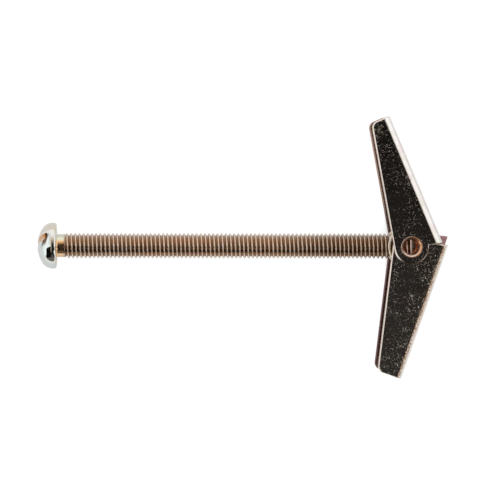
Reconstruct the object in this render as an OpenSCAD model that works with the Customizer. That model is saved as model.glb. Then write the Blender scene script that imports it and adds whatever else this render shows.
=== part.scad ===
// Spring toggle bolt: a slotted screw with two sprung wings on a trunnion nut.
// The origin is the centre of the head's bearing face.
// +X runs along the shank to the wings, the wings open along Y, and Z is the pivot axis.
// All sizes are in millimetres.

/* [Screw] */
// outside diameter of the threaded shank
shank_d = 4.9; // [4.7:0.05:5]
// length under the head
shank_l = 68; // [60:0.5:76]
// diameter of the plain neck under the head
neck_d = 4.4; // [4:0.05:4.6]
// length of the plain neck
neck_l = 1.5; // [1:0.1:4]
// how far the fillet under the head reaches past the thread
seat_fillet_past = 0.06; // [0.02:0.01:0.2]
// chamfer at the end of the shank
tip_chamfer = 0.5; // [0.2:0.05:0.8]
// diameter of the round head
head_d = 8.8; // [7.6:0.02:10]
// height of the round head
head_h = 3.65; // [3.3:0.05:4.2]
// height of the straight rim of the head
head_rim = 0.7; // [0.4:0.05:0.8]
// radius of the head's shoulder
head_shoulder = 2.4; // [2:0.05:2.5]
// radius of the round at the bearing face
head_seat_round = 0.45; // [0.1:0.05:0.6]
// width of the screwdriver slot
slot_w = 1.25; // [0.8:0.05:1.6]
// depth of the screwdriver slot
slot_d = 1.95; // [1.2:0.05:2]
// turn of the slot about the shank
slot_turn = 30; // [0:1:180]

/* [Trunnion nut] */
// diameter of the barrel that the shank screws through
barrel_d = 6.7; // [6.5:0.05:6.8]
// length of the barrel between the inner ears
barrel_l = 7; // [6.9:0.05:7.4]
// outside diameter of the hollow trunnions
trunnion_d = 3.7; // [3.5:0.05:3.8]
// diameter of the bore along the pivot axis
trunnion_bore = 2.8; // [2.4:0.02:3]
// how far the mouths of the bore flare out, and how deep
bore_flare = 0.42; // [0.2:0.02:0.44]
// diameter of the rolled rim that keeps the ears on
rim_d = 4.02; // [3.96:0.01:4.2]
// height of the rolled rim
rim_h = 0.14; // [0.1:0.02:0.2]
// how far the pivot axis lies inside the end of the shank
pivot_inset = 0.4; // [0:0.1:2]

/* [Wings] */
// thickness of the wing sheet
sheet = 0.8; // [0.7:0.05:0.85]
// outside radius of the folds
fold_r = 1.45; // [1.1:0.05:1.6]
// length from the pivot to the tip
wing_l = 25.3; // [20:0.1:30]
// distance of the upper bearing edge from the pivot, also the upper ears' radius
upper_ear = 3.3; // [3:0.05:3.8]
// distance of the lower bearing edge from the pivot, also the lower ears' radius
lower_ear = 3.5; // [3:0.05:3.8]
// distance of the upper web from the pivot, across the wing
upper_web = 6; // [5.9:0.05:6.6]
// distance of the lower web from the pivot, across the wing
lower_web = 6.8; // [6.4:0.05:7.2]
// taper of the web towards the tip
taper = 12.4; // [10:0.1:13]
// radius of the rounded corner at the tip
tip_r = 1.3; // [0.8:0.05:1.5]
// lean of the upper wing towards the head
upper_lean = 10.6; // [7:0.1:12]
// lean of the lower wing towards the head
lower_lean = 6.8; // [5:0.1:9]
// how far the upper web runs past the pivot on the upper side
upper_end_top = 0.25; // [0:0.05:0.4]
// how far the upper web stops short of the pivot on the lower side
upper_short_bottom = 1.3; // [1:0.05:2.5]
// how far the lower web runs past the pivot on the upper side
lower_end_top = 1.2; // [0.5:0.05:1.3]
// how far the stop tab of the lower web runs past the pivot on the lower side
stop_tab = 2.65; // [1.5:0.05:2.75]

/* [Spring] */
// diameter of the spring wire
wire_d = 0.5; // [0.4:0.01:0.5]
// radius of the coil to the middle of the wire
coil_r = 4.1; // [3.8:0.02:4.3]
// where the ends of the wire press on the wings, from the pivot
leg_reach = 10.5; // [8:0.1:14]

/* [Fits] */
// radial clearance of the trunnions in the ears
pivot_fit = 0.05; // [0.03:0.01:0.08]
// radial clearance of the shank in the nut
thread_fit = 0.05; // [0.03:0.01:0.08]
// gap between neighbouring ears
ear_gap = 0.05; // [0.03:0.01:0.08]
// gap round the spring wire
wire_gap = 0.03; // [0.02:0.01:0.05]
// room round the shank where it passes between the webs
notch_room = 0.35; // [0.25:0.05:0.4]

/* [Hidden] */
$fn = 96;
pivot_x = shank_l - pivot_inset;
head_r = head_d / 2;
// the fillet leaves a bearing face that starts outside the thread
seat_fillet = (shank_d - neck_d) / 2 + seat_fillet_past;
// the crown of the head is an arc that runs smoothly into the shoulder arc
shoulder_at = head_r - head_shoulder;
crown_room = head_h - head_shoulder;
crown_c = (shoulder_at * shoulder_at + head_rim * head_rim - crown_room * crown_room)
    / (2 * (crown_room - head_rim));
crown_r = crown_c + head_h;
crown_edge = shoulder_at * (1 + head_shoulder / norm([shoulder_at, crown_c + head_rim]));
// faces of the nested ears along the pivot axis
inner_in = barrel_l / 2 + ear_gap;
inner_out = inner_in + sheet;
outer_in = inner_out + ear_gap;
outer_out = outer_in + sheet;
trunnion_end = outer_out + ear_gap + rim_h;
hole_r = trunnion_d / 2 + pivot_fit;
fold_in = fold_r - sheet;
// the web's line and the tip in the wing's own frame, x to the tip and y away from the web
function tip_web(web) = wing_l * tan(taper) - web;
function tip_y(ear) = ear - tip_r;
function tip_x(web, ear) = wing_l - ((tip_y(ear) - tip_web(web)) * sin(taper) + tip_r) / cos(taper);
function tip_end(web, ear) = [tip_x(web, ear) + tip_r * cos(taper), tip_y(ear) + tip_r * sin(taper)];
far = 40;
notch_w = shank_d + 2 * notch_room;
notch_to = 3;
// heights of the coil's turns beside the shank
turn_out = inner_in - wire_d / 2 - wire_gap;
turn_in = shank_d / 2 + wire_d / 2 + wire_gap;
// middle of the wire where it rests inside a web
function leg_v(web) = web - leg_reach * tan(taper) - (sheet + wire_d / 2 + wire_gap) / cos(taper);
function leg_turn(web) = atan2(leg_reach, leg_v(web)) - acos(coil_r / norm([leg_reach, leg_v(web)]));
upper_off = upper_lean + leg_turn(upper_web);
lower_off = lower_lean + leg_turn(lower_web);
bridge_from = 130;
bridge_to = 50;
turn_step = 10;
wire_sides = 12;

// half section of the dome head, with the radius along x and the height along y
module head_section() {
    intersection() {
        translate([0, crown_c]) circle(r = crown_r, $fn = 256);
        translate([0, -head_h - 1]) square([crown_edge, head_h + 1 - head_rim]);
    }
    intersection() {
        translate([shoulder_at, -head_rim]) circle(r = head_shoulder);
        translate([crown_edge, -head_h]) square([head_d, head_h - head_rim]);
    }
    translate([0, -head_rim]) square([head_r, head_rim - head_seat_round]);
    translate([0, -head_rim]) square([head_r - head_seat_round, head_rim]);
    translate([head_r - head_seat_round, -head_seat_round]) circle(r = head_seat_round);
}

module screw() {
    color("Silver")
    difference() {
        rotate([0, 90, 0]) union() {
            rotate_extrude() head_section();
            cylinder(d = neck_d, h = neck_l + 0.5);
            rotate_extrude() difference() {
                translate([0, -head_rim / 2]) square([neck_d / 2 + seat_fillet, head_rim / 2 + seat_fillet]);
                translate([neck_d / 2 + seat_fillet, seat_fillet]) circle(r = seat_fillet);
            }
            translate([0, 0, neck_l]) cylinder(d1 = neck_d, d2 = shank_d, h = (shank_d - neck_d) / 2);
            translate([0, 0, neck_l + (shank_d - neck_d) / 2])
                cylinder(d = shank_d, h = shank_l - tip_chamfer - neck_l - (shank_d - neck_d) / 2);
            translate([0, 0, shank_l - tip_chamfer])
                cylinder(d1 = shank_d, d2 = shank_d - 2 * tip_chamfer, h = tip_chamfer);
        }
        rotate([-slot_turn, 0, 0])
            translate([-head_h - 1, -slot_w / 2, -head_d]) cube([slot_d + 1, slot_w, 2 * head_d]);
    }
}

module trunnion_nut() {
    color("Peru")
    translate([pivot_x, 0, 0])
    difference() {
        union() {
            cylinder(d = barrel_d, h = barrel_l, center = true);
            cylinder(d = trunnion_d, h = 2 * trunnion_end, center = true);
            for (side = [0, 180])
                rotate([side, 0, 0]) translate([0, 0, outer_out + ear_gap]) cylinder(d = rim_d, h = rim_h);
        }
        cylinder(d = trunnion_bore, h = far, center = true);
        for (side = [0, 180])
            rotate([side, 0, 0]) translate([0, 0, trunnion_end - bore_flare])
                cylinder(r1 = trunnion_bore / 2, r2 = trunnion_bore / 2 + 2 * bore_flare, h = 2 * bore_flare);
        rotate([0, 90, 0]) cylinder(d = shank_d + 2 * thread_fit, h = far, center = true);
    }
}

// outline of one side of a wing, seen along the pivot axis, ending at end_x behind the pivot
module wing_side(end_x, web, ear) {
    web_end = end_x * tan(taper) - web;
    round_x = tip_x(web, ear);
    polygon([[end_x, 0], [end_x, web_end], [wing_l, tip_web(web)], tip_end(web, ear),
        [round_x, tip_y(ear)], [round_x, ear], [0, ear], [0, 0]]);
    translate([round_x, tip_y(ear)]) circle(r = tip_r);
    circle(r = ear);
}

// channel section with the web along y = 0 and the sides standing up from it
module channel_section(low, high) {
    difference() {
        union() {
            translate([0, low + fold_r]) square([far, high - low - 2 * fold_r]);
            translate([fold_r, low]) square([far - fold_r, high - low]);
            for (z = [low + fold_r, high - fold_r]) translate([fold_r, z]) circle(r = fold_r);
        }
        translate([sheet, low + fold_r]) square([far, high - low - 2 * fold_r]);
        translate([fold_r, low + sheet]) square([far, high - low - 2 * sheet]);
        for (z = [low + fold_r, high - fold_r]) translate([fold_r, z]) circle(r = fold_in);
    }
}

// one wing in its own frame: x to the tip, the web on the -y side, the outer ear on the +z side
module wing(outer_end, inner_end, web, ear) {
    difference() {
        intersection() {
            rotate([0, 0, taper]) translate([-far / 2, -web * cos(taper), 0])
                rotate([90, 0, 90]) linear_extrude(far * 1.5) channel_section(-inner_out, outer_out);
            union() {
                linear_extrude(outer_out + 1) wing_side(outer_end, web, ear);
                translate([0, 0, -inner_out - 1]) linear_extrude(inner_out + 1) wing_side(inner_end, web, ear);
            }
        }
        cylinder(r = hole_r, h = far, center = true);
        rotate([0, 0, taper]) translate([0, -web * cos(taper) - 1, 0]) {
            translate([-far, 0, -notch_w / 2]) cube([far + notch_to - notch_w / 2, sheet + 2, notch_w]);
            translate([notch_to - notch_w / 2, 0, 0])
                rotate([-90, 0, 0]) cylinder(d = notch_w, h = sheet + 2);
        }
    }
}

module upper_wing() {
    color("Wheat")
    translate([pivot_x, 0, 0]) rotate([0, 0, 90 + upper_lean])
        wing(-upper_end_top, upper_short_bottom, upper_web, upper_ear);
}

module lower_wing() {
    color("Tan")
    translate([pivot_x, 0, 0]) rotate([180, 0, 0]) rotate([0, 0, 90 + lower_lean])
        wing(-stop_tab, -lower_end_top, lower_web, lower_ear);
}

// a point of the coil at one angle and height
function on_coil(angle, height) = [coil_r * cos(angle), coil_r * sin(angle), height];
// the end of a leg in a wing, at a lean from square to the shank, on one side of it
function leg_end(lean, side, web) = [
    leg_v(web) * cos(lean) - leg_reach * sin(lean),
    side * (leg_reach * cos(lean) + leg_v(web) * sin(lean)),
    side * turn_out];
// a share that eases from 0 to 1
function ease(share) = share * share * (3 - 2 * share);

// the wire runs from the upper leg once round near the upper ears, crosses beside the shank,
// and runs once round near the lower ears to the lower leg
wire_path = concat(
    [leg_end(upper_lean, 1, upper_web)],
    [for (k = [0:36]) on_coil(upper_off - k * turn_step, turn_out + (turn_in - turn_out) * ease(k / 36))],
    [let (n = ceil((upper_off + 360 - bridge_from) / turn_step), step = (upper_off + 360 - bridge_from) / n)
        for (k = [1:n]) on_coil(upper_off - k * step, turn_in)],
    [for (k = [1:12]) on_coil(bridge_from + (bridge_to - bridge_from) * k / 12, turn_in * (1 - 2 * ease(k / 12)))],
    [let (n = ceil((bridge_to + lower_off) / turn_step), step = (bridge_to + lower_off) / n)
        for (k = [1:n]) on_coil(bridge_to - k * step, -turn_in)],
    [for (k = [1:36]) on_coil(-lower_off - k * turn_step, -turn_in + (turn_in - turn_out) * ease(k / 36))],
    [leg_end(lower_lean, -1, lower_web)]);

function unit(v) = v / norm(v);
function path_dir(k) = unit(wire_path[min(k + 1, len(wire_path) - 1)] - wire_path[max(k - 1, 0)]);
// the first cross direction of the section stays square to the wire and as near the pivot axis as it can
function path_up(k) = unit([0, 0, 1] - path_dir(k) * path_dir(k)[2]);

module spring() {
    rings = len(wire_path);
    points = [for (k = [0:rings - 1], s = [0:wire_sides - 1])
        let (up = path_up(k), across = cross(path_dir(k), up), a = 360 * s / wire_sides)
            wire_path[k] + (up * cos(a) + across * sin(a)) * wire_d / 2];
    sides = [for (k = [0:rings - 2], s = [0:wire_sides - 1]) let (t = (s + 1) % wire_sides)
        [k * wire_sides + s, k * wire_sides + t, (k + 1) * wire_sides + t, (k + 1) * wire_sides + s]];
    caps = [[for (s = [wire_sides - 1:-1:0]) s],
        [for (s = [0:wire_sides - 1]) (rings - 1) * wire_sides + s]];
    color("DimGray")
    translate([pivot_x, 0, 0]) polyhedron(points = points, faces = concat(sides, caps), convexity = 6);
}

screw();
trunnion_nut();
upper_wing();
lower_wing();
spring();
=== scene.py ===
"""Looks of a spring toggle bolt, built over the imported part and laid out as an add-on."""
import math
from typing import NamedTuple, Sequence

import bmesh
import bpy
import numpy as np
from mathutils import Matrix, Vector


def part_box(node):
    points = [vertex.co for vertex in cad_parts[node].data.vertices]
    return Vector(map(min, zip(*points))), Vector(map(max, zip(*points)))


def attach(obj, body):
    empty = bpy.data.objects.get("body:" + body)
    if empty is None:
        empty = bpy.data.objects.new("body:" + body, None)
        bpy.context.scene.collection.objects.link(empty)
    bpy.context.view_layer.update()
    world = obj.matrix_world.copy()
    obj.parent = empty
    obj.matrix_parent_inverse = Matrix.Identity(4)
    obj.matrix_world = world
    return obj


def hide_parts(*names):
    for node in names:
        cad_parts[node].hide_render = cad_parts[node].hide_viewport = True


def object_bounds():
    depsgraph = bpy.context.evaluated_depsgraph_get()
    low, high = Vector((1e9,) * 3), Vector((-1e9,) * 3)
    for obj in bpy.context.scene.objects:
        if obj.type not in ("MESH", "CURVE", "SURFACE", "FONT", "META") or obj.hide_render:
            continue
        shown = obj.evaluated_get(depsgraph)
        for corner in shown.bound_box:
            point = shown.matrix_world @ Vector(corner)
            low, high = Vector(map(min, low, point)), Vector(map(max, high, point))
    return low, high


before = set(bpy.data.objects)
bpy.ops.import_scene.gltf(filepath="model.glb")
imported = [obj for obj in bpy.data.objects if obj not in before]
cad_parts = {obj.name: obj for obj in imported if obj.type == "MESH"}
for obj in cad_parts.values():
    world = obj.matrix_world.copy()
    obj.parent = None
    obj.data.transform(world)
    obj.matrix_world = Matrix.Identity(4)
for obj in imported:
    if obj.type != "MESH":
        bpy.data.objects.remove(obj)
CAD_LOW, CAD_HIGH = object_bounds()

bl_info = {
    "name": "Spring Toggle Bolt",
    "version": (1, 0, 0),
    "blender": (4, 5, 0),
    "location": "View3D > Sidebar > Toggle Bolt",
    "description": "Builds the looks of a spring toggle bolt and its studio",
    "category": "Add Mesh",
}

MM = 0.001
SCREW_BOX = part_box("screw")
NUT_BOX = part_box("trunnion_nut")
SHANK_LENGTH = SCREW_BOX[1][0]
PIVOT_X = (NUT_BOX[0][0] + NUT_BOX[1][0]) / 2

# Faces that meet at a smaller angle than the first are one flat face, and past the second the edge is sharp
FLAT_ANGLE = math.radians(0.5)
SHARP_ANGLE = math.radians(40.0)

# Points of a new surface, and corners of a solid's mesh, that lie closer than these in metres are joined
SURFACE_JOIN = 1e-8
SOLID_JOIN = 1e-6

# What a column of the head's grid lies on
DOME, WORN, FLOOR = range(3)

# Layers of curly lines on the sheet: waves per metre, half width of a line and shift of the pattern
HAIR_LAYERS = ((420.0, 0.007, 0.0), (700.0, 0.008, 0.7), (1100.0, 0.014, 1.9), (1700.0, 0.022, 3.1))


def length(name, text, value):
    """A property for a length in metres."""
    return bpy.props.FloatProperty(
        name=name, description=text, default=value, min=0.0, precision=5, subtype="DISTANCE", unit="LENGTH")


def angle(name, text, degrees):
    """A property for an angle."""
    return bpy.props.FloatProperty(
        name=name, description=text, default=math.radians(degrees), subtype="ANGLE", unit="ROTATION")


def share(name, text, value):
    """A property for a share between 0 and 1."""
    return bpy.props.FloatProperty(
        name=name, description=text, default=value, min=0.0, max=1.0, subtype="FACTOR")


def colour(name, text, value):
    """A property for a linear colour."""
    return bpy.props.FloatVectorProperty(
        name=name, description=text, default=value, size=3, min=0.0, max=1.0, subtype="COLOR")


class ToggleScrew(bpy.types.PropertyGroup):
    """Sizes of the screw that stands for the plain shank and head."""

    pitch: length("Pitch", "Distance between neighbouring threads", 0.8 * MM)
    shank_d: length("Outside diameter", "Diameter over the thread crests", 4.88 * MM)
    thread_depth: length("Thread depth", "Height of the thread from root to crest", 0.46 * MM)
    neck_d: length("Neck diameter", "Diameter of the plain neck", 4.4 * MM)
    neck_l: length("Neck length", "Length of the plain neck", 1.5 * MM)
    seat_fillet: length("Seat fillet", "Radius of the fillet under the head", 0.31 * MM)
    seat_round: length("Seat round", "Radius of the round at the bearing face", 0.45 * MM)
    tip_chamfer: length("Tip chamfer", "Chamfer at the end of the shank", 0.5 * MM)
    thread_shift: length("Thread shift", "Shift of the thread along the shank", 0.36 * MM)
    head_d: length("Head diameter", "Diameter of the round head", 8.8 * MM)
    head_h: length("Head height", "Height of the round head", 3.65 * MM)
    head_rim: length("Rim height", "Height of the straight rim of the head", 0.7 * MM)
    head_shoulder: length("Shoulder radius", "Radius of the head's shoulder", 2.4 * MM)
    slot_w: length("Slot width", "Width of the screwdriver slot", 1.25 * MM)
    slot_d: length("Slot depth", "Depth of the screwdriver slot", 1.95 * MM)
    slot_edge: length("Slot edge", "Width of the worn edge of the slot", 0.12 * MM)
    slot_turn: angle("Slot turn", "Turn of the slot about the shank", 30.0)


class ToggleSpring(bpy.types.PropertyGroup):
    """Sizes of the wire spring round the nut."""

    wire_d: length("Wire diameter", "Diameter of the spring wire", 0.5 * MM)
    coil_r: length("Coil radius", "Radius of the coil to the middle of the wire", 4.1 * MM)
    turn_out: length("Outer turn", "Height of the turns beside the ears", 3.27 * MM)
    turn_in: length("Inner turn", "Height of the turns beside the shank", 2.73 * MM)
    leg_reach: length("Leg reach", "Where the ends press on the wings, from the pivot", 10.5 * MM)
    upper_v: length("Upper leg offset", "Offset of the upper leg's end across its wing", 2.586 * MM)
    lower_v: length("Lower leg offset", "Offset of the lower leg's end across its wing", 3.386 * MM)
    overlap: angle("Leg overlap", "How far each leg also runs back along the coil", 80.0)
    leg_fit: share("Leg fit", "Leg's thickness as a share of the wire's, so that its arc lies inside", 0.98)
    bridge_at: angle("Bridge start", "Where the wire starts to cross beside the shank", 130.0)
    bridge_span: angle("Bridge span", "Angle over which the wire crosses beside the shank", 80.0)
    upper_lean: angle("Upper lean", "Lean of the upper wing towards the head", 10.6)
    lower_lean: angle("Lower lean", "Lean of the lower wing towards the head", 6.8)


class ToggleFinish(bpy.types.PropertyGroup):
    """Colours and wear of the zinc finish."""

    straw: colour("Straw", "Main colour of the passivated zinc", (0.86, 0.76, 0.56))
    sheet: colour("Sheet", "Colour of the bright sheet", (0.96, 0.95, 0.92))
    blush: colour("Blush", "Pinkish colour of the bright sheet", (0.95, 0.9, 0.87))
    mauve: colour("Mauve", "Purplish tint of the bright sheet", (0.84, 0.62, 0.66))
    # Painted shade inside the upper wing's far flange.
    plum: colour("Plum", "Film inside the upper wing's far side", (0.45, 0.32, 0.25))
    # Painted shade: darker brown inside the far flanges and in the dark line beside the slot's end.
    wine: colour("Wine", "Darker film inside the far sides and by the slot", (0.2, 0.115, 0.11))
    rose: colour("Rose", "Pinkish colour of the film", (0.86, 0.68, 0.56))
    sage: colour("Sage", "Greenish colour of the film", (0.72, 0.76, 0.56))
    silver: colour("Silver", "Colour where the film is thin", (0.83, 0.9, 0.89))
    copper: colour("Copper", "Colour where the film is thick", (0.66, 0.42, 0.26))
    bronze: colour("Bronze", "Browner colour of the thick film", (0.58, 0.42, 0.3))
    amber: colour("Amber", "Orange colour of the film", (0.95, 0.66, 0.4))
    ember: colour("Ember", "Pinkish copper of the turned nut", (0.84, 0.46, 0.27))
    # Painted reflection: the warm brown band on the lower wing's fold.
    umber: colour("Umber", "Brown tarnish on the folds", (0.34, 0.23, 0.15))
    # Dark brown used for painted shade in the thread roots, deep in the slot, beside the slot's end and in
    # the nut's bore, and for the darker rings on the wings.
    dark_brown: colour("Soot", "Dirt in the thread roots", (0.16, 0.09, 0.045))
    wire: colour("Wire", "Colour of the spring wire", (0.8, 0.77, 0.72))
    gloss: share("Roughness", "Roughness of the clean finish", 0.07)
    wear: share("Wear", "Strength of scratches and smudges", 0.6)
    edge_round: length("Edge round", "Rounding of the cut sheet edges", 0.23 * MM)
    nut_round: length("Nut round", "Rounding of the nut's edges", 0.06 * MM)


class ToggleStage(bpy.types.PropertyGroup):
    """Camera, floor and surroundings."""

    target: bpy.props.FloatVectorProperty(
        name="Target", description="Point at the middle of the picture",
        default=(0.0370, -0.00079, 0.0), size=3, subtype="TRANSLATION", unit="LENGTH")
    turn_x: angle("Turn to the head", "Turn of the camera from straight above towards the head", 1.6)
    turn_y: angle("Turn to the upper wing", "Turn of the camera towards the upper wing", 2.2)
    roll: angle("Roll", "Roll of the camera about its own axis", 0.15)
    lens: bpy.props.FloatProperty(
        name="Lens", description="Focal length in millimetres", default=200.0, min=20.0,
        subtype="DISTANCE_CAMERA")
    width: length("Picture width", "Width that the picture covers at the target", 95.8 * MM)
    light: bpy.props.FloatProperty(
        name="Light", description="Brightness of the white surroundings", default=1.0, min=0.0)


# Numpy surfaces


def grid_quads(rows, cols, first=0):
    """Quads of a grid that closes on itself along its columns.

    The four corners of a cell are its own index, the next column, both one row on, and the next row.
    """
    k, s = np.meshgrid(np.arange(rows - 1), np.arange(cols), indexing="ij")
    t = (s + 1) % cols
    quads = np.stack([k * cols + s, k * cols + t, (k + 1) * cols + t, (k + 1) * cols + s], axis=-1)
    return quads.reshape(-1, 4) + first


def make_piece(name, points, quads, sharp=35.0):
    """A mesh object from points and quads, with coincident points joined and faces turned outward."""
    mesh = bpy.data.meshes.new(name)
    count = len(quads)
    mesh.vertices.add(len(points))
    mesh.vertices.foreach_set("co", np.ascontiguousarray(points, dtype=np.float32).ravel())
    mesh.loops.add(count * 4)
    mesh.loops.foreach_set("vertex_index", np.ascontiguousarray(quads, dtype=np.int32).ravel())
    mesh.polygons.add(count)
    mesh.polygons.foreach_set("loop_start", np.arange(count, dtype=np.int32) * 4)
    mesh.polygons.foreach_set("loop_total", np.full(count, 4, dtype=np.int32))
    mesh.update(calc_edges=True)
    work = bmesh.new()
    work.from_mesh(mesh)
    bmesh.ops.remove_doubles(work, verts=work.verts, dist=SURFACE_JOIN)
    bmesh.ops.recalc_face_normals(work, faces=work.faces)
    work.to_mesh(mesh)
    work.free()
    mesh.polygons.foreach_set("use_smooth", np.ones(len(mesh.polygons), dtype=bool))
    mesh.set_sharp_from_angle(angle=math.radians(sharp))
    mesh.validate()
    piece = bpy.data.objects.new(name, mesh)
    bpy.context.scene.collection.objects.link(piece)
    return piece


def shank_surface(size, steps=20, cols=48):
    """Points and quads of the threaded shank.

    The two parameters are the distance x along the shank and the angle a round it. The radius is the
    crest radius less the thread depth times a cosine wave of how far x less a pitch per turn of a is from
    the nearest crest. It grows out of the neck, which has a fillet under the head, and at the tip the
    chamfer's radius is taken where that is smaller.
    """
    crest = size.shank_d / 2
    neck = size.neck_d / 2
    x = np.arange(0.0, SHANK_LENGTH, size.pitch / steps)
    x = np.append(x, SHANK_LENGTH)[:, None]
    a = (np.arange(cols) * 2 * math.pi / cols)[None, :]
    phase = (x - size.thread_shift) / size.pitch - a / (2 * math.pi)
    off = np.abs((phase + 0.5) % 1.0 - 0.5)
    flank = 0.5 - 0.5 * np.cos(2 * math.pi * off)
    start = np.clip((x - size.neck_l) / (0.5 * size.pitch), 0.0, 1.0)
    fillet = size.seat_fillet
    inside = np.clip(fillet - x, 0.0, fillet)
    plain = neck + fillet - np.sqrt(fillet ** 2 - inside ** 2)
    r = plain + start * (crest - size.thread_depth * flank - neck)
    end = crest - size.tip_chamfer + (SHANK_LENGTH - x)
    r = np.minimum(r, end)
    r = np.concatenate([np.zeros((1, cols)), r, np.zeros((1, cols))])
    x = np.concatenate([x[:1], x, x[-1:]])
    points = np.stack([np.broadcast_to(x, r.shape), r * np.cos(a), r * np.sin(a)], axis=-1)
    return points.reshape(-1, 3), grid_quads(*r.shape)


def dome_height(size, rho):
    """The dome's x at a distance rho from the axis: a crown arc that runs into a shoulder arc.

    The crown's centre lies on the axis, as deep as it has to for the two arcs to touch. They touch where the
    line from the crown's centre through the shoulder's centre comes out of the shoulder.
    """
    at = size.head_d / 2 - size.head_shoulder
    room = size.head_h - size.head_shoulder
    crown_c = (at * at + size.head_rim ** 2 - room * room) / (2 * (room - size.head_rim))
    crown_r = crown_c + size.head_h
    crown_edge = at * (1 + size.head_shoulder / math.hypot(at, crown_c + size.head_rim))
    crown = crown_c - np.sqrt(np.maximum(crown_r ** 2 - rho ** 2, 0.0))
    shoulder = -size.head_rim - np.sqrt(np.maximum(size.head_shoulder ** 2 - (rho - at) ** 2, 0.0))
    return np.where(rho < crown_edge, crown, shoulder)


def head_surface(size, across=56, along=48, floor_cols=9, seat_rings=8):
    """Points and quads of the slotted dome head.

    The two parameters are the offset w across the slot and the share b along the chord of the head at w.
    The height is the dome's, or the slot's floor where that is lower. Each slot edge has a column on the
    dome, one on the worn edge and one on the floor. The rim and the bearing face follow as rings round the
    outline of the grid.
    """
    radius = size.head_d / 2
    half = size.slot_w / 2
    edge = size.slot_edge
    outer = radius * np.sin(np.linspace(math.asin((half + edge) / radius), math.pi / 2, across // 2))
    inner = np.linspace(-half, half, floor_cols)
    w = np.concatenate([-outer[::-1], [-half], inner, [half], outer])
    beside = np.full(len(outer), DOME)
    kind = np.concatenate([beside, [WORN], np.full(len(inner), FLOOR), [WORN], beside])
    b = np.sin(np.linspace(-math.pi / 2, math.pi / 2, along))
    chord = np.sqrt(np.maximum(radius ** 2 - w ** 2, 0.0))
    along_slot = chord[:, None] * b[None, :]
    w = np.broadcast_to(w[:, None], along_slot.shape)
    kind = np.broadcast_to(kind[:, None], along_slot.shape)
    dome = dome_height(size, np.minimum(np.hypot(w, along_slot), radius))
    floor = -size.head_h + size.slot_d
    worn = np.minimum(dome + edge, floor)
    x = np.select([kind == FLOOR, kind == WORN], [np.maximum(dome, floor), np.maximum(dome, worn)], dome)
    top = np.stack([x, w, along_slot], axis=-1)
    rows, cols = x.shape
    index = np.arange(rows * cols).reshape(rows, cols)
    cells = np.stack([index[:-1, :-1], index[1:, :-1], index[1:, 1:], index[:-1, 1:]], axis=-1)
    cells = cells.reshape(-1, 4)
    loop = np.concatenate([index[:, 0], index[::-1, -1]])
    rim = top.reshape(-1, 3)[loop]
    turn = np.linspace(0.0, math.pi / 2, seat_rings)
    levels = np.append(size.seat_round * (np.sin(turn) - 1), 0.0)
    scales = np.append(1 - size.seat_round * (1 - np.cos(turn)) / radius, 0.0)
    rings = rim[None, :, :] * scales[:, None, None]
    rings[:, :, 0] = levels[:, None]
    points = np.concatenate([top.reshape(-1, 3), rings.reshape(-1, 3)])
    count = len(loop)
    first = rows * cols
    step = np.arange(count)
    after = (step + 1) % count
    band = np.stack([loop, loop[after], first + after, first + step], axis=-1)
    return points, np.concatenate([cells, band, grid_quads(len(levels), count, first)])


def turned_round(points, turn):
    """Points turned about the shank: y and z go through the usual cosine and sine of the angle."""
    c = math.cos(turn)
    s = math.sin(turn)
    x, y, z = points.T
    return np.stack([x, c * y - s * z, s * y + c * z], axis=-1)


def tube_surface(path, radius, sides=14, nose_rings=5):
    """Points and quads of a round wire.

    The two parameters are the place along the path and the angle round it. Each point is the path's own
    point plus the radius in a direction square to the path, and the ends close on rounded noses.
    """
    ahead = np.gradient(path, axis=0)
    ahead /= np.linalg.norm(ahead, axis=1, keepdims=True)
    nose = np.linspace(0.0, math.pi / 2, nose_rings + 1)[1:, None]
    head = path[0] - ahead[0] * radius * np.sin(nose[::-1])
    tail = path[-1] + ahead[-1] * radius * np.sin(nose)
    spine = np.concatenate([head, path, tail])
    dirs = np.concatenate([np.repeat(ahead[:1], nose_rings, 0), ahead, np.repeat(ahead[-1:], nose_rings, 0)])
    small = radius * np.cos(nose[:, 0])
    sizes = np.concatenate([small[::-1], np.full(len(path), radius), small])
    up = np.array([0.0, 0.0, 1.0]) - dirs * dirs[:, 2:3]
    up /= np.linalg.norm(up, axis=1, keepdims=True)
    side = np.cross(dirs, up)
    a = np.arange(sides) * 2 * math.pi / sides
    ring = up[:, None, :] * np.cos(a)[None, :, None] + side[:, None, :] * np.sin(a)[None, :, None]
    points = spine[:, None, :] + ring * sizes[:, None, None]
    return points.reshape(-1, 3), grid_quads(len(spine), sides)


def ease(value):
    """A smooth step from 0 to 1: three squares less two cubes of the value, which is held between the two."""
    value = np.clip(value, 0.0, 1.0)
    return value * value * (3 - 2 * value)


def on_coil(size, turns, heights):
    """Points of the coil: a circle round the pivot axis, at the given angles and heights."""
    r = size.coil_r
    return np.stack([PIVOT_X + r * np.cos(turns), r * np.sin(turns), heights], axis=-1)


def leg_path(size, lean, v, side, arc_points=20, line_points=24):
    """The angle at which a leg leaves the coil, and the leg's path.

    The path is an arc along the coil and then a straight line that touches the circle there. The line ends
    at the leg's reach along the wing and v across it. The angle is the lean, plus the end's own angle, less
    the angle whose cosine is the coil's radius over the end's distance.
    """
    reach = size.leg_reach
    off = lean + math.atan2(reach, v) - math.acos(size.coil_r / math.hypot(reach, v))
    end = np.array([
        PIVOT_X + v * math.cos(lean) - reach * math.sin(lean),
        side * (reach * math.cos(lean) + v * math.sin(lean)),
        side * size.turn_out,
    ])
    drop = size.turn_out - size.turn_in
    back = np.linspace(size.overlap, 0.0, arc_points)
    arc = on_coil(size, side * (off - back), side * (size.turn_out - drop * ease(back / (2 * math.pi))))
    along = np.linspace(0.0, 1.0, line_points)[1:, None]
    return off, np.concatenate([arc, arc[-1] + (end - arc[-1]) * along])


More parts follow.
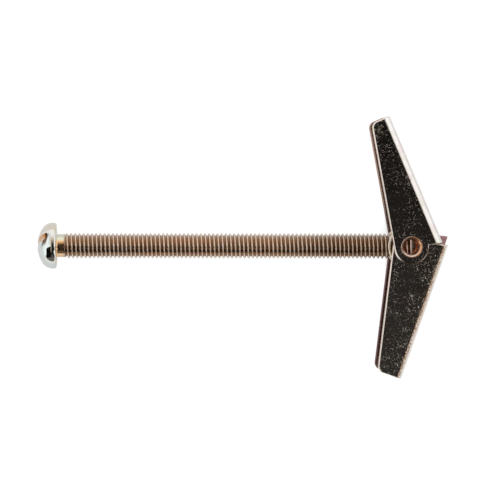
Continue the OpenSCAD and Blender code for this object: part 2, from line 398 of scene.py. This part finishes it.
def coil_path(size, upper_off, lower_off, points=260):
    """The path of the coil from the upper leg to the lower one.

    The angle falls evenly through three turns and the angle between the legs. The height eases from the
    outer turn to the inner one over the first turn, crosses to the other side over the bridge, and eases
    out again over the last turn.
    """
    drop = size.turn_out - size.turn_in
    turns = upper_off - np.linspace(0.0, upper_off + lower_off + 6 * math.pi, points)
    bridge = size.bridge_at - 4 * math.pi
    last = -lower_off - 4 * math.pi
    heights = size.turn_out - drop * ease((upper_off - turns) / (2 * math.pi))
    heights = heights - 2 * size.turn_in * ease((bridge - turns) / size.bridge_span)
    heights = heights - drop * ease((last - turns) / (2 * math.pi))
    return on_coil(size, turns, heights)


# Materials


class Socket:
    """An output socket whose arithmetic adds Math nodes to its tree."""

    def __init__(self, graph, socket):
        self.graph = graph
        self.socket = socket

    def __add__(self, other):
        return self.graph.math("ADD", self, other)

    def __radd__(self, other):
        return self.graph.math("ADD", other, self)

    def __sub__(self, other):
        return self.graph.math("SUBTRACT", self, other)

    def __rsub__(self, other):
        return self.graph.math("SUBTRACT", other, self)

    def __mul__(self, other):
        return self.graph.math("MULTIPLY", self, other)

    def __rmul__(self, other):
        return self.graph.math("MULTIPLY", other, self)

    def __truediv__(self, other):
        return self.graph.math("DIVIDE", self, other)

    def __rtruediv__(self, other):
        return self.graph.math("DIVIDE", other, self)

    def __pow__(self, other):
        return self.graph.math("POWER", self, other)


class Graph:
    """A node tree that is filled from the code."""

    def __init__(self, tree):
        self.tree = tree
        tree.nodes.clear()

    def put(self, value, target):
        """Links a socket to an input, or sets the input's own value."""
        if isinstance(value, Socket):
            self.tree.links.new(value.socket, target)
        else:
            target.default_value = value

    def node(self, kind, settings=None, inputs=None, output=0):
        """Any node: its settings, its inputs by name or number, and one output as a socket."""
        made = self.tree.nodes.new(kind)
        for key, value in (settings or {}).items():
            setattr(made, key, value)
        for key, value in (inputs or {}).items():
            self.put(value, made.inputs[key])
        return Socket(self, made.outputs[output]) if made.outputs else made

    def math(self, operation, a, b=0.0):
        """A Math node on one or two values."""
        return self.node("ShaderNodeMath", {"operation": operation}, {0: a, 1: b})

    def ramp(self, value, low, high, to_low=0.0, to_high=1.0):
        """A smooth change from one value to another while the input goes from low to high."""
        return self.node(
            "ShaderNodeMapRange", {"interpolation_type": "SMOOTHSTEP"},
            {"Value": value, "From Min": low, "From Max": high, "To Min": to_low, "To Max": to_high})

    def mix(self, factor, a, b):
        """A colour between two colours, each of them a socket or a linear colour."""
        inputs = {0: factor, 6: paint(a), 7: paint(b)}
        return self.node("ShaderNodeMix", {"data_type": "RGBA", "clamp_factor": True}, inputs, 2)

    def window(self, value, rise, fall):
        """A mask that rises over one stretch of a value and falls over a later one."""
        return self.ramp(value, rise[0], rise[1]) * self.ramp(value, fall[1], fall[0])

    def size_of(self, value):
        """A value without its sign."""
        return self.math("ABSOLUTE", value)

    def larger(self, a, b):
        """The larger of two values."""
        return self.math("MAXIMUM", a, b)

    def distance(self, a, b):
        """The length of a line that is a long one way and b the other."""
        return self.math("SQRT", a * a + b * b)

    def parts(self, vector):
        """The three parts of a vector."""
        first = self.node("ShaderNodeSeparateXYZ", None, {0: vector})
        outputs = first.socket.node.outputs
        return [Socket(self, out) for out in outputs]

    def moved(self, vector, operation, by):
        """A vector with each part added to or multiplied by a number of its own."""
        return self.node("ShaderNodeVectorMath", {"operation": operation}, {0: vector, 1: by})

    def noise(self, vector, scale, detail=3.0, rough=0.5, distortion=0.0):
        """A noise around 0.5, with the scale in waves per metre."""
        inputs = {"Vector": vector, "Scale": scale, "Detail": detail, "Roughness": rough}
        inputs["Distortion"] = distortion
        return self.node("ShaderNodeTexNoise", None, inputs)

    def blots(self, place, scale, cut, detail=3.0, rough=0.5, level=(0.0, 1.0)):
        """A mask of blots: a noise cut softly between two of its values, from a low level to a high one."""
        return self.ramp(self.noise(place, scale, detail, rough), cut[0], cut[1], level[0], level[1])

    def place(self):
        """Object coordinates in metres."""
        return self.node("ShaderNodeTexCoord", None, None, 3)


def paint(value):
    """A socket as it is, or a linear colour with full alpha."""
    if isinstance(value, Socket):
        return value
    return (value[0], value[1], value[2], 1.0)


def blend(first, second, part):
    """The colour a part of the way from one colour to another."""
    return tuple(a + (b - a) * part for a, b in zip(first, second))


def new_graph(name):
    """A new material and its empty node tree."""
    material = bpy.data.materials.new(name)
    material.use_nodes = True
    return material, Graph(material.node_tree)


def shade(graph, base, roughness, relief, height):
    """A metal surface with its colour, its roughness and a fine relief of the given height."""
    bump = graph.node("ShaderNodeBump", None, {"Height": relief, "Distance": height, "Strength": 0.6})
    inputs = {"Base Color": base, "Metallic": 1.0, "Roughness": roughness, "Normal": bump}
    shader = graph.node("ShaderNodeBsdfPrincipled", None, inputs)
    graph.node("ShaderNodeOutputMaterial", None, {"Surface": shader})


def scratches(graph, place, turn, scale, low):
    """A mask of fine straight lines: noise stretched along one direction and cut near its top."""
    inputs = {"Vector": place, "Angle": turn}
    turned = graph.node("ShaderNodeVectorRotate", {"rotation_type": "Z_AXIS"}, inputs)
    stretched = graph.moved(turned, "MULTIPLY", (0.06, 1.0, 1.0))
    return graph.blots(stretched, scale, (low, low + 0.06), 2.0, 0.6)


def hairs(graph, place, scale, width, shift):
    """A mask of short curly lines: places where a noise is near its middle, kept in broken stretches."""
    moved = graph.moved(place, "ADD", (shift, 0.3 * shift, 0.0))
    noise = graph.noise(moved, scale, 1.0, 0.5, 0.4)
    near = graph.ramp(graph.size_of(noise - 0.5), width, 0.0)
    return near * graph.blots(moved, 1.7 * scale, (0.55, 0.62), 1.0)


def wing_film(graph, finish, place):
    """Colour of the bright sheet: warm white with faint purplish and greenish blots."""
    base = graph.mix(graph.blots(place, 130.0, (0.35, 0.7), 2.0), finish.sheet, finish.blush)
    base = graph.mix(graph.blots(place, 420.0, (0.45, 0.65)) * 0.35, base, finish.mauve)
    return graph.mix(graph.blots(place, 560.0, (0.48, 0.66)) * 0.35, base, finish.sage)


def wing_marks(graph, place, turn):
    """Masks of the fine lines, which lie in patches, and of the clustered specks on the sheet."""
    lines = scratches(graph, place, turn, 3800.0, 0.69) * 0.5
    for scale, width, shift in HAIR_LAYERS:
        lines = lines + hairs(graph, place, scale, width, shift)
    lines = lines * graph.blots(place, 170.0, (0.4, 0.62), 3.0, 0.6, (0.35, 1.3))
    cluster = graph.blots(place, 260.0, (0.42, 0.68), 4.0, 0.65, (0.5, 1.0))
    coarse = graph.blots(place, 3600.0, (0.53, 0.68), 2.0, 0.6)
    fine = graph.blots(place, 7500.0, (0.56, 0.7), 2.0, 0.6)
    return lines, (coarse + fine * 0.7) * cluster


class WingLook(NamedTuple):
    """What differs between the finishes of the two wings."""

    turn: float  # direction of the straight scratches
    inner_z: float  # height of the far flange's inside
    side: int  # 1 for the wing towards +Y and -1 for the other
    lean: float  # lean of the near edge towards the head
    ear: float  # distance from the pivot at which the other wing's ear ends on this sheet
    tarnish: float  # share of painted warm reflection on and beside the fold; a wing without it has a smudged tip
    marks: float  # strength of the lines and specks
    shade_inside: Sequence[float]  # colour of the painted shade inside the far flange


def wing_material(finish, name, look, top):
    """Bright zinc sheet with fine lines, specks and smudges, a painted warm reflection on the fold and
    painted shade inside the far flange.
    """
    material, graph = new_graph(name)
    place = graph.place()
    x, y, z = graph.parts(place)
    off = x - PIVOT_X
    outward = y * look.side
    across = off * math.cos(look.lean) + y * (look.side * math.sin(look.lean))
    reach = graph.distance(off, y)
    lines, specks = wing_marks(graph, place, look.turn)

    # Sheet, fold and near edge
    base = wing_film(graph, finish, place)
    bend = graph.window(z, (top - 0.55 * MM, top - 0.3 * MM), (top - 0.15 * MM, top - 0.02 * MM))
    bend = bend * graph.ramp(across, -1.0 * MM, 0.0)
    # Painted warm reflection on the lower wing: straw beside the fold, and umber broken into speckles on the
    # fold itself.
    fold_speckle = graph.blots(place, 2600.0, (0.38, 0.62), 2.0, 0.6, (0.35, 1.2))
    base = graph.mix(graph.ramp(across, 1.5 * MM, 3.5 * MM) * (0.3 * look.tarnish), base, finish.straw)
    base = graph.mix(bend * fold_speckle * look.tarnish, base, finish.umber)
    base = graph.mix(graph.ramp(across, -2.8 * MM, -3.1 * MM) * 0.5, base, finish.rose)

    # Painted shade inside the far flange and on its edge
    inside = graph.ramp(graph.size_of(z - look.inner_z), 0.35 * MM, 0.25 * MM)
    inside = inside * graph.ramp(off, 2.0 * MM, 1.0 * MM)
    far = graph.ramp(z, -2.9 * MM, -3.2 * MM) * graph.ramp(across, -2.5 * MM, -2.8 * MM)
    film = graph.mix(graph.ramp(outward, 4.0 * MM, 9.0 * MM), finish.wine, look.shade_inside)
    base = graph.mix(graph.larger(inside, far), base, film)

    # Darker round the pivot and along the line where the other ear ends
    end = graph.window(reach, (look.ear - 0.3 * MM, look.ear - 0.1 * MM),
                       (look.ear + 0.2 * MM, look.ear + 0.4 * MM))
    end = end * graph.ramp(off / reach, -0.8, -0.4) * graph.ramp(outward, 0.5 * MM, -0.3 * MM)
    dark_rings = graph.larger(end, graph.ramp(reach, 2.25 * MM, 2.1 * MM))
    base = graph.mix(dark_rings * 0.85, base, finish.dark_brown)

    # Smudged tip and raw cut of the stop tab
    tip = graph.ramp(reach, 21.5 * MM, 23.0 * MM) * graph.ramp(z, top - 0.1 * MM, top - 0.02 * MM)
    tip = tip * graph.blots(place, 1500.0, (0.4, 0.62), 3.0, 0.6) * (1.0 - look.tarnish)
    base = graph.mix(tip * 0.6, base, finish.sage)
    cut = graph.ramp(z, -2.7 * MM, -2.75 * MM) * graph.ramp(off, 4.8 * MM, 5.2 * MM)
    base = graph.mix(cut, base, finish.mauve)

    smudge = graph.ramp(graph.noise(place, 180.0, 4.0, 0.6, 0.6), 0.5, 0.75)
    worn = (lines * 0.9 + specks * 0.48 + smudge * 0.02) * (look.marks * finish.wear)
    rough = finish.gloss - 0.02 + worn + inside * 0.16 + cut * 0.85 + tip * 0.2
    shade(graph, base, rough, lines + specks, 0.004 * MM)
    return material


def head_film(graph, finish, film, y):
    """Silver film of the head, straw in blots and painted rose shade on its upper side."""
    head = graph.mix(graph.ramp(film, 0.45, 0.75) * 0.6, finish.silver, finish.straw)
    # Painted shade: rose on the head's upper side, for how the light falls there.
    return graph.mix(graph.ramp(y, 0.8 * MM, 3.0 * MM) * 0.35, head, finish.rose)


def neck_film(graph, finish, film, y):
    """Amber film of the neck, greenish on its upper side, where it is also painted paler as a highlight."""
    gold = graph.mix(graph.ramp(y, 0.9 * MM, 1.4 * MM), finish.amber, finish.sage)
    # Painted highlight: paler on the neck's upper side.
    gold = graph.mix(graph.ramp(y, 1.0 * MM, 1.6 * MM) * 0.4, gold, finish.sheet)
    return graph.mix(graph.ramp(film, 0.4, 0.65) * 0.4, gold, finish.straw)


def thread_film(graph, finish, film, place, crest):
    """Copper film of the thread with painted shade in the roots and painted highlights on the crests, toned
    down on the upper side; the upper side is painted paler, and the thread grows darker towards the wings.
    """
    x, y = graph.parts(place)[:2]
    body = graph.mix(graph.ramp(film, 0.3, 0.7), finish.copper, finish.bronze)
    # Painted highlight: the colour of the crests.
    glint = graph.mix(graph.blots(place, 900.0, (0.42, 0.6), 2.0) * 0.5, finish.rose, finish.straw)
    glint = graph.mix(graph.blots(place, 1500.0, (0.45, 0.65), 2.0) * 0.7, glint, finish.blush)
    # Painted shade: the crests are toned down to copper on the upper side.
    glint = graph.mix(graph.ramp(y, 0.2 * MM, 0.9 * MM) * 0.4, glint, finish.copper)
    # The roots, and partly the crests, get darker towards the wings.
    toward_wings = graph.ramp(x, 0.59 * SHANK_LENGTH, 0.82 * SHANK_LENGTH)
    # Painted shade: the roots are darkened with the dark brown.
    root = graph.mix(toward_wings * 0.3 + 0.5, body, finish.dark_brown)
    body = graph.mix(crest, root, graph.mix(toward_wings * 0.2, glint, finish.dark_brown))
    # Painted highlight: paler on the shank's upper side.
    body = graph.mix(graph.ramp(y, 1.2 * MM, 1.9 * MM) * 0.3, body, finish.blush)
    # Painted highlight: the crests near the tip, inside the nut, take the bright sheet colour.
    tip = graph.ramp(x, SHANK_LENGTH - 3.4 * MM, SHANK_LENGTH - 3.0 * MM)
    return graph.mix(tip * crest, body, finish.sheet)


def slot_film(graph, finish, size, place, base):
    """A head's colour with the slot's bare walls, painted shade deep in the slot and a painted dark line of
    shade beside its end.
    """
    x, y, z = graph.parts(place)
    half = size.slot_w / 2
    floor = size.slot_d - size.head_h
    turned = y * math.cos(size.slot_turn) - z * math.sin(size.slot_turn)
    # Painted shade: a dark line on the dome beside the slot's end, standing for the slot's shadowed wall.
    line = graph.size_of(x - (turned + half) * 0.31 - (floor - 0.33 * MM))
    worn = graph.ramp(line, 0.55 * MM, 0.3 * MM) * graph.ramp(z, 0.0, 1.0 * MM)
    worn = worn * graph.window(turned, (-half - 1.5 * MM, -half - 0.5 * MM), (0.0, half))
    base = graph.mix(worn, base, blend(finish.dark_brown, finish.wine, 0.4))
    patch = graph.mix(graph.blots(place, 1300.0, (0.4, 0.65), 2.0), finish.amber, finish.blush)
    # Painted shade: the walls darken towards the slot's floor.
    deep = graph.ramp(x, floor - 0.55 * MM, floor - 0.3 * MM)
    wall = graph.mix(deep * 0.9, patch, finish.dark_brown)
    inside = graph.ramp(graph.size_of(turned), half + 0.03 * MM, half)
    return graph.mix(inside * graph.ramp(x, floor + 0.05 * MM, floor + 0.02 * MM), base, wall)


def screw_material(finish, size):
    """Zinc film that goes from silver on the head through gold on the neck to copper on the thread."""
    material, graph = new_graph("screw_zinc")
    place = graph.place()
    x, y, z = graph.parts(place)
    film = graph.noise(place, 260.0, 3.0, 0.5, 0.4)
    crest_r = size.shank_d / 2
    root_r = crest_r - size.thread_depth
    crest = graph.ramp(graph.distance(y, z), root_r + 0.1 * MM, crest_r - 0.05 * MM)
    thread = graph.ramp(x, size.neck_l - 0.3 * MM, size.neck_l + 0.2 * MM)
    shank = graph.ramp(x, -0.2 * MM, 0.1 * MM)
    body = thread_film(graph, finish, film, place, crest)
    base = graph.mix(thread, neck_film(graph, finish, film, y), body)
    base = graph.mix(shank, head_film(graph, finish, film, y), base)
    base = slot_film(graph, finish, size, place, base)
    haze = graph.blots(place, 500.0, (0.45, 0.75), 4.0, 0.6, (0.0, 0.2 * finish.wear))
    rough = finish.gloss + shank * 0.06 + haze * (0.4 + shank * 0.6) + crest * thread * 0.12
    shade(graph, base, rough, graph.noise(place, 1800.0, 2.0), 0.01 * MM)
    return material


def nut_material(finish):
    """Thick copper-coloured film on the turned nut, painted paler on the head's side as a highlight, with
    painted shade in the bore on the head's and upper wing's side.
    """
    material, graph = new_graph("nut_zinc")
    place = graph.place()
    x, y, z = graph.parts(place)
    off = x - PIVOT_X
    base = graph.mix(graph.blots(place, 420.0, (0.45, 0.8)), finish.ember, finish.rose)
    # Painted highlight: pinkish pale on the head's side.
    pale = graph.mix(0.5, base, finish.blush)
    base = graph.mix(graph.ramp(off, -0.6 * MM, 1.0 * MM), pale, base)
    # Painted shade in the bore's flare on the head's and upper wing's side.
    across = graph.distance(off, y)
    cone = graph.ramp(graph.size_of(z), 4.2 * MM, 4.6 * MM) * graph.ramp(across, 1.95 * MM, 1.8 * MM)
    upper_left = graph.ramp((y - off) / across, -0.3, 0.9)
    base = graph.mix(upper_left * cone * 0.92, base, finish.dark_brown)
    haze = graph.blots(place, 900.0, (0.5, 0.8)) * (0.2 * finish.wear)
    shade(graph, base, finish.gloss + 0.14 + haze, graph.noise(place, 2400.0, 2.0), 0.004 * MM)
    return material


def wire_material(finish):
    """Drawn spring wire with a faint straw film and a fine grain."""
    material, graph = new_graph("spring_wire")
    place = graph.place()
    base = graph.mix(graph.blots(place, 700.0, (0.35, 0.7)), finish.wire, finish.straw)
    rough = finish.gloss + 0.12 + graph.blots(place, 1500.0, (0.4, 0.8)) * 0.15
    shade(graph, base, rough, graph.noise(place, 3000.0, 2.0), 0.006 * MM)
    return material


def dress(piece, material):
    """One material on every slot of a piece."""
    piece.data.materials.clear()
    piece.data.materials.append(material)


def near_stop(point):
    """True by the small stop tabs behind the nut, whose edges are too short to be rounded."""
    return point.x > PIVOT_X + 4.0 * MM and abs(point.y) < 6.0 * MM and abs(point.z) < 3.5 * MM


def merged_copy(node, name, body):
    """A new piece from a joined copy of a solid's mesh, with whole flat faces and marked edges to round."""
    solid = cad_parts[node]
    mesh = solid.data.copy()
    mesh.name = name
    mesh.transform(solid.matrix_world)
    work = bmesh.new()
    work.from_mesh(mesh)
    bmesh.ops.remove_doubles(work, verts=work.verts, dist=SOLID_JOIN)
    bmesh.ops.dissolve_limit(work, angle_limit=FLAT_ANGLE, verts=work.verts, edges=work.edges)
    weight = work.edges.layers.float.new("bevel_weight_edge")
    for edge in work.edges:
        middle = (edge.verts[0].co + edge.verts[1].co) / 2
        edge[weight] = float(edge.calc_face_angle(0.0) > SHARP_ANGLE and not near_stop(middle))
    work.to_mesh(mesh)
    work.free()
    mesh.polygons.foreach_set("use_smooth", np.ones(len(mesh.polygons), dtype=bool))
    mesh.set_sharp_from_angle(angle=SHARP_ANGLE)
    piece = bpy.data.objects.new(name, mesh)
    bpy.context.scene.collection.objects.link(piece)
    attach(piece, body)
    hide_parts(node)
    return piece


def soften(piece, width, segments=4):
    """Rounded edges, with normals that keep the flat faces flat and the bends smooth."""
    bevel = piece.modifiers.new("round", "BEVEL")
    bevel.limit_method = "WEIGHT"
    bevel.width = width
    bevel.segments = segments
    bevel.use_clamp_overlap = False
    bevel.loop_slide = False
    even = piece.modifiers.new("even", "WEIGHTED_NORMAL")
    even.mode = "FACE_AREA"
    even.weight = 80
    even.keep_sharp = True


# Operators


class TOGGLE_OT_screw(bpy.types.Operator):
    """Build the threaded screw with its slotted head"""

    bl_idname = "toggle.screw"
    bl_label = "Screw"

    def execute(self, context):
        size = context.scene.toggle_screw
        head, head_quads = head_surface(size)
        shank, shank_quads = shank_surface(size)
        points = np.concatenate([turned_round(head, -size.slot_turn), shank])
        quads = np.concatenate([head_quads, shank_quads + len(head)])
        piece = make_piece("screw_threaded", points, quads)
        dress(piece, screw_material(context.scene.toggle_finish, size))
        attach(piece, "screw")
        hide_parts("screw")
        return {"FINISHED"}


class TOGGLE_OT_wings(bpy.types.Operator):
    """Finish the two folded sheet wings"""

    bl_idname = "toggle.wings"
    bl_label = "Wings"

    def execute(self, context):
        finish = context.scene.toggle_finish
        spring = context.scene.toggle_spring
        upper = WingLook(
            turn=1.9, inner_z=-3.55 * MM, side=1, lean=spring.upper_lean, ear=3.3 * MM,
            tarnish=0.0, marks=0.7, shade_inside=finish.plum)
        lower = WingLook(
            turn=-1.85, inner_z=-4.4 * MM, side=-1, lean=spring.lower_lean, ear=3.5 * MM,
            tarnish=1.0, marks=0.95, shade_inside=finish.wine)
        for name, look in (("upper_wing", upper), ("lower_wing", lower)):
            piece = merged_copy(name, name + "_sheet", name)
            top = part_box(name)[1][2]
            dress(piece, wing_material(finish, name + "_zinc", look, top))
            soften(piece, finish.edge_round)
        return {"FINISHED"}


class TOGGLE_OT_nut(bpy.types.Operator):
    """Finish the trunnion nut"""

    bl_idname = "toggle.nut"
    bl_label = "Trunnion nut"

    def execute(self, context):
        finish = context.scene.toggle_finish
        piece = merged_copy("trunnion_nut", "nut_turned", "nut")
        dress(piece, nut_material(finish))
        soften(piece, finish.nut_round, 3)
        return {"FINISHED"}


class TOGGLE_OT_spring(bpy.types.Operator):
    """Build the wire spring as a coil on the nut and a leg in each wing"""

    bl_idname = "toggle.spring"
    bl_label = "Spring"

    def execute(self, context):
        size = context.scene.toggle_spring
        material = wire_material(context.scene.toggle_finish)
        upper_off, upper = leg_path(size, size.upper_lean, size.upper_v, 1)
        lower_off, lower = leg_path(size, size.lower_lean, size.lower_v, -1)
        coil = coil_path(size, upper_off, lower_off)
        wire_r = size.wire_d / 2
        leg_r = size.leg_fit * wire_r
        for name, path, radius, body in (
                ("spring_coil", coil, wire_r, "nut"),
                ("spring_leg_upper", upper, leg_r, "upper_wing"),
                ("spring_leg_lower", lower, leg_r, "lower_wing")):
            piece = make_piece(name, *tube_surface(path, radius))
            dress(piece, material)
            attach(piece, body)
            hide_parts("spring")
        return {"FINISHED"}


class TOGGLE_OT_stage(bpy.types.Operator):
    """Set up the floor, the surroundings and the camera"""

    bl_idname = "toggle.stage"
    bl_label = "Stage"

    def execute(self, context):
        scene = context.scene
        stage = scene.toggle_stage
        self.floor()
        self.card()
        self.surroundings(scene, stage)
        self.camera(scene, stage)
        scene.view_settings.view_transform = "Standard"
        return {"FINISHED"}

    def floor(self):
        """A white floor that keeps the part's soft shadow where it touches."""
        half = 1.5
        low = CAD_LOW[2]
        shadow_reach = 6.0 * MM
        mesh = bpy.data.meshes.new("floor")
        corners = [(-half, -half, low), (half, -half, low), (half, half, low), (-half, half, low)]
        mesh.from_pydata(corners, [], [(0, 1, 2, 3)])
        floor = bpy.data.objects.new("floor", mesh)
        bpy.context.scene.collection.objects.link(floor)
        material, graph = new_graph("floor_white")
        paths = graph.node("ShaderNodeLightPath").socket.node.outputs
        camera = Socket(graph, paths["Is Camera Ray"])
        glossy = Socket(graph, paths["Is Glossy Ray"])
        seen = graph.larger(camera, glossy * 0.45)
        open_sky = graph.node("ShaderNodeAmbientOcclusion", {"samples": 8}, {"Distance": shadow_reach}, 1)
        matt = graph.node("ShaderNodeBsdfDiffuse", None, {"Color": (0.9, 0.9, 0.9, 1.0)})
        white = graph.node("ShaderNodeEmission", None, {"Color": (1.0, 1.0, 1.0, 1.0), "Strength": 1.2})
        bright = seen * graph.ramp(open_sky, 0.05, 0.5) * 0.8
        shader = graph.node("ShaderNodeMixShader", None, {0: bright, 1: matt, 2: white})
        graph.node("ShaderNodeOutputMaterial", None, {"Surface": shader})
        dress(floor, material)

    def card(self):
        """A dark card above the head, outside the picture, which the dome mirrors."""
        corners_mm = ((-36.0, -8.0, 28.5), (-31.0, -34.0, 9.5), (-8.3, -40.0, 27.0), (-10.6, 0.0, 47.5))
        corners = [Vector(corner) * MM for corner in corners_mm]
        mesh = bpy.data.meshes.new("card")
        mesh.from_pydata(corners, [], [(0, 1, 2, 3)])
        card = bpy.data.objects.new("card", mesh)
        bpy.context.scene.collection.objects.link(card)
        card.visible_camera = False
        card.visible_shadow = False
        material, graph = new_graph("card_black")
        shader = graph.node("ShaderNodeBsdfDiffuse", None, {"Color": (0.004, 0.003, 0.002, 1.0)})
        graph.node("ShaderNodeOutputMaterial", None, {"Surface": shader})
        dress(card, material)

    def surroundings(self, scene, stage):
        """White surroundings with a dark field overhead, which the flat faces and the thread mirror.

        x, y and z are the parts of the direction looked in. The field ends softly at its left, its right
        and towards +Y, it is less dark near the horizon, and its edge is warm. Towards +Y the white is a
        little grey on both sides.
        """
        world = bpy.data.worlds.new("studio")
        world.use_nodes = True
        graph = Graph(world.node_tree)
        ray = graph.node("ShaderNodeTexCoord", None, None, 0)
        x, y, z = graph.parts(ray)
        wide = graph.ramp(y, -0.5, -0.66, 0.0, 0.8)
        reach = graph.ramp(y, 0.05, -0.12, -0.08, 0.36) - graph.ramp(y, -0.28, -0.42, 0.0, 0.5) + wide
        right = graph.ramp(x - reach, 0.6, 0.2)
        right = 1.0 - (1.0 - right) ** 2.2
        left = graph.ramp(x + wide, -0.3, -0.08)
        dark = graph.ramp(y, 0.86, 0.1) * right * left * graph.ramp(z, 0.03, 0.14)
        low = graph.ramp(y, 0.02, -0.1, 0.996, 0.971) + graph.ramp(y, -0.15, -0.3, 0.0, 0.024)
        aside = graph.size_of(x)
        sky = graph.ramp(y, 0.98, 0.7) * graph.ramp(y, 0.0, 0.2, 0.0, 0.24)
        sky = sky * graph.ramp(aside, 0.05, 0.25) * graph.ramp(aside, 0.65, 0.4)
        level = (1.0 - sky) * (1.0 - dark * graph.math("MINIMUM", graph.ramp(z, 0.3, 0.95, 0.86, 1.0), low))
        edge = dark * (1.0 - dark) * (1.0 - graph.ramp(x, 0.3, 0.5) * graph.ramp(y, 0.0, 0.12)) * 4.0
        tint = graph.mix(dark, (1.0, 1.0, 1.0, 1.0), (1.0, 0.9, 0.8, 1.0))
        tint = graph.mix(edge, tint, (1.0, 0.72, 0.5, 1.0))
        back = graph.node("ShaderNodeBackground", None, {"Color": tint, "Strength": level * stage.light})
        graph.node("ShaderNodeOutputWorld", None, {"Surface": back})
        scene.world = world

    def camera(self, scene, stage):
        """A camera nearly straight above, turned a little towards the head and the upper wing."""
        data = bpy.data.cameras.new("camera")
        data.lens = stage.lens
        data.sensor_width = 36.0
        data.clip_start = 0.01
        camera = bpy.data.objects.new("camera", data)
        scene.collection.objects.link(camera)
        scene.camera = camera
        target = Vector(stage.target)
        away = Vector((-math.sin(stage.turn_x), math.sin(stage.turn_y), 1.0))
        away.z = math.sqrt(1.0 - away.x ** 2 - away.y ** 2)
        distance = stage.lens * stage.width / data.sensor_width
        right = Vector((0.0, 1.0, 0.0)).cross(away).normalized()
        up = away.cross(right)
        turn = Matrix((right, up, away)).transposed().to_4x4()
        roll = Matrix.Rotation(stage.roll, 4, "Z")
        camera.matrix_world = Matrix.Translation(target + away * distance) @ turn @ roll


class TOGGLE_PT_panel(bpy.types.Panel):
    """Lists the pieces and their settings"""

    bl_idname = "TOGGLE_PT_panel"
    bl_label = "Toggle Bolt"
    bl_space_type = "VIEW_3D"
    bl_region_type = "UI"
    bl_category = "Toggle Bolt"

    def draw(self, context):
        for kind in OPERATORS:
            self.layout.operator(kind.bl_idname)
        for key, kind in GROUPS.items():
            box = self.layout.box()
            for name in kind.__annotations__:
                box.prop(getattr(context.scene, key), name)


GROUPS = {
    "toggle_screw": ToggleScrew,
    "toggle_spring": ToggleSpring,
    "toggle_finish": ToggleFinish,
    "toggle_stage": ToggleStage,
}
OPERATORS = (TOGGLE_OT_screw, TOGGLE_OT_wings, TOGGLE_OT_nut, TOGGLE_OT_spring, TOGGLE_OT_stage)


def register():
    for kind in (*GROUPS.values(), *OPERATORS, TOGGLE_PT_panel):
        bpy.utils.register_class(kind)
    for key, kind in GROUPS.items():
        setattr(bpy.types.Scene, key, bpy.props.PointerProperty(type=kind))


def unregister():
    for key in GROUPS:
        delattr(bpy.types.Scene, key)
    for kind in reversed((*GROUPS.values(), *OPERATORS, TOGGLE_PT_panel)):
        bpy.utils.unregister_class(kind)


def main():
    register()
    bpy.ops.toggle.screw()
    bpy.ops.toggle.wings()
    bpy.ops.toggle.nut()
    bpy.ops.toggle.spring()
    bpy.ops.toggle.stage()


if __name__ == "__main__":
    main()
